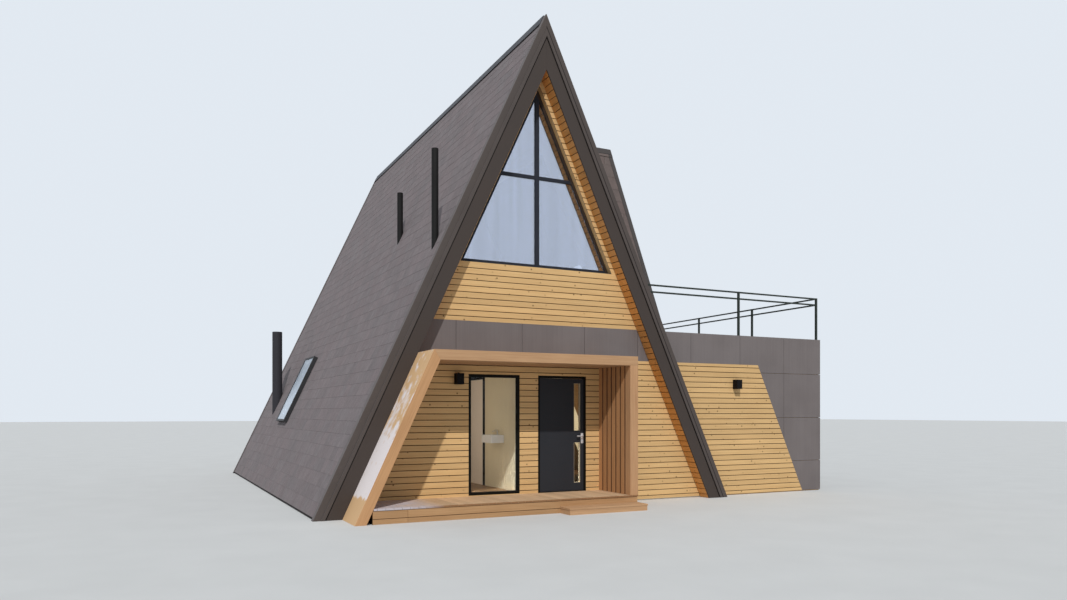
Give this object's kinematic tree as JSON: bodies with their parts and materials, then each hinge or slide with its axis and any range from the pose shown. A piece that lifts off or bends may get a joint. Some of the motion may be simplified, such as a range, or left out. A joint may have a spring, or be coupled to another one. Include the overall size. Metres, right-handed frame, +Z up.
{
  "type": "a-frame cabin",
  "caption": "Steep A-frame timber cabin with board-clad gable, porch frame, hinged front door and a flat-roofed side room with terrace.",
  "frame": {"origin": "on the ground under the ridge, at the middle of the roof's length", "axes": "+X to the right along the front gable, +Y from the front gable to the back, +Z up"},
  "size_m": [11.019, 12.385, 8.8374],
  "materials": {
    "cladding": "oiled sawn pine boards, small knots",
    "soffit_wood": "oiled pine boards, warmer brown",
    "porch_wood": "planed larch, matt oil",
    "shingle": "matt mineral-faced shingles",
    "roof_structure": "timber roof structure",
    "roof_metal": "matt dark brown-grey coated sheet",
    "fascia_board": "matt dark brown stain",
    "panel": "matt fibre-cement panels",
    "dormer_panel": "matt fibre-cement panels",
    "wall_core": "timber frame wall with white lining",
    "floor": "timber floor",
    "window_metal": "satin black powder coat",
    "door_paint": "satin dark grey",
    "glass": "clear double glazing",
    "handle_steel": "brushed",
    "flue_metal": "matt black",
    "rail_metal": "satin dark grey",
    "lamp_metal": "satin black",
    "plaster": "white-painted vertical boards",
    "inner_door_paint": "matt pale grey",
    "basin_ceramic": "glazed white"
  },
  "bodies": {
    "cabin": {"front_boards": "cladding", "back_boards": "cladding", "annex_boards": "cladding", "soffits": "soffit_wood", "porch_leg": "porch_wood", "porch_top": "porch_wood", "porch_post": "porch_wood", "slat_screen": "porch_wood", "deck_boards": "porch_wood", "deck_frame": "porch_wood", "porch_step": "porch_wood", "left_shingles": "shingle", "right_shingles": "shingle", "dormer_cheeks": "shingle", "left_roof": "roof_structure", "right_roof_front": "roof_structure", "right_roof_back": "roof_structure", "right_roof_top": "roof_structure", "ridge_cap": "roof_metal", "barge_trims": "roof_metal", "fascias": "fascia_board", "gable_band": "panel", "annex_panels": "panel", "dormer_roof": "dormer_panel", "dormer_wall": "dormer_panel", "front_wall_left": "wall_core", "front_wall_right": "wall_core", "front_wall_upper": "wall_core", "back_wall": "wall_core", "annex_front_wall": "wall_core", "annex_side_wall": "wall_core", "annex_back_wall": "wall_core", "floor_slab": "floor", "annex_floor": "floor", "loft_floor": "floor", "annex_roof": "floor", "door_sill": "floor", "ground_window_frames": "window_metal", "gable_window_frames": "window_metal", "terrace_door_frame": "window_metal", "skylight_frame": "window_metal", "door_frame": "window_metal", "inner_door_frame": "window_metal", "window_glass": "glass", "terrace_door_glass": "glass", "skylight_glass": "glass", "frame_hinges": "handle_steel", "flue_pipes": "flue_metal", "rail_posts": "rail_metal", "rails": "rail_metal", "wall_lamps": "lamp_metal", "partition_wall": "plaster", "inner_door": "inner_door_paint", "wash_basin": "basin_ceramic"},
    "door": {"door_leaf": "door_paint", "door_glass": "glass", "handle_plates": "handle_steel", "leaf_hinges": "handle_steel"},
    "handle": {"door_handle": "handle_steel"}
  },
  "joints": [
    {"name": "front_door_hinge", "type": "hinge", "parent": "cabin", "child": "door", "pos_m": [0.0155, -5.255, 1.31], "axis": [0, 0, 1], "range_deg": [0, 100]},
    {"name": "handle_turn", "type": "hinge", "parent": "door", "child": "handle", "pos_m": [0.893, -5.296, 1.262], "axis": [0, -1, 0], "range_deg": [0, 45], "stiffness_Nm_per_rad": 1.5, "springref_deg": -11.46}
  ]
}
